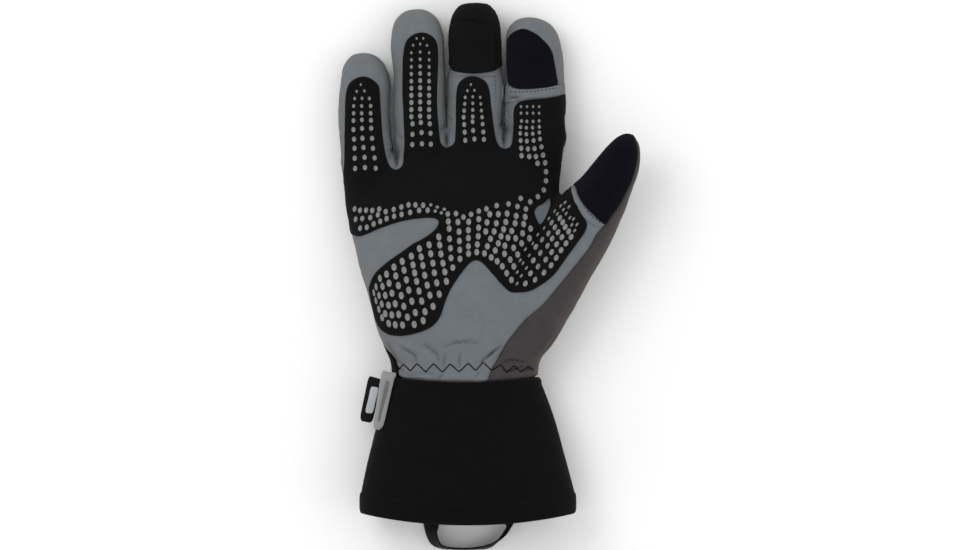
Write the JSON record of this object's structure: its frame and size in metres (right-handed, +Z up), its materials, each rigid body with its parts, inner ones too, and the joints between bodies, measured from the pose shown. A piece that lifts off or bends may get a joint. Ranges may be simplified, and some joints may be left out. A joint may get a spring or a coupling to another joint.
{
  "type": "fishing glove",
  "caption": "Insulated gauntlet fishing glove for the right hand, lying palm up, with grip overlay, fold-back fingertip cap, touch pads and flared cuff with hanging loop.",
  "frame": {"origin": "on the flat back of the hand, on the glove's middle line, where the glove rests", "axes": "+X towards the thumb, +Y from the cuff to the fingertips, +Z up through the palm"},
  "size_m": [0.1653, 0.3023, 0.048],
  "materials": {
    "gray_leather": "matt synthetic leather",
    "charcoal_cloth": "matt stretch cloth",
    "black_softshell": "matt woven softshell",
    "overlay_black": "matt grip leather with silicone dots",
    "pad_black": "fine suede cloth",
    "webbing": "woven webbing",
    "label_gray": "woven label, bare"
  },
  "bodies": {
    "root": {"palm_shell": "gray_leather", "back_shell": "black_softshell", "thumb_outer_panel": "charcoal_cloth", "palm_overlay": "overlay_black", "middle_cap": "overlay_black", "index_pad": "pad_black", "index_band": "gray_leather", "thumb_pad": "pad_black", "thumb_band": "gray_leather", "cuff_tube": "black_softshell", "cuff_hem": "black_softshell", "hang_loop": "webbing", "side_flag": "webbing", "side_label": "label_gray"}
  },
  "joints": []
}
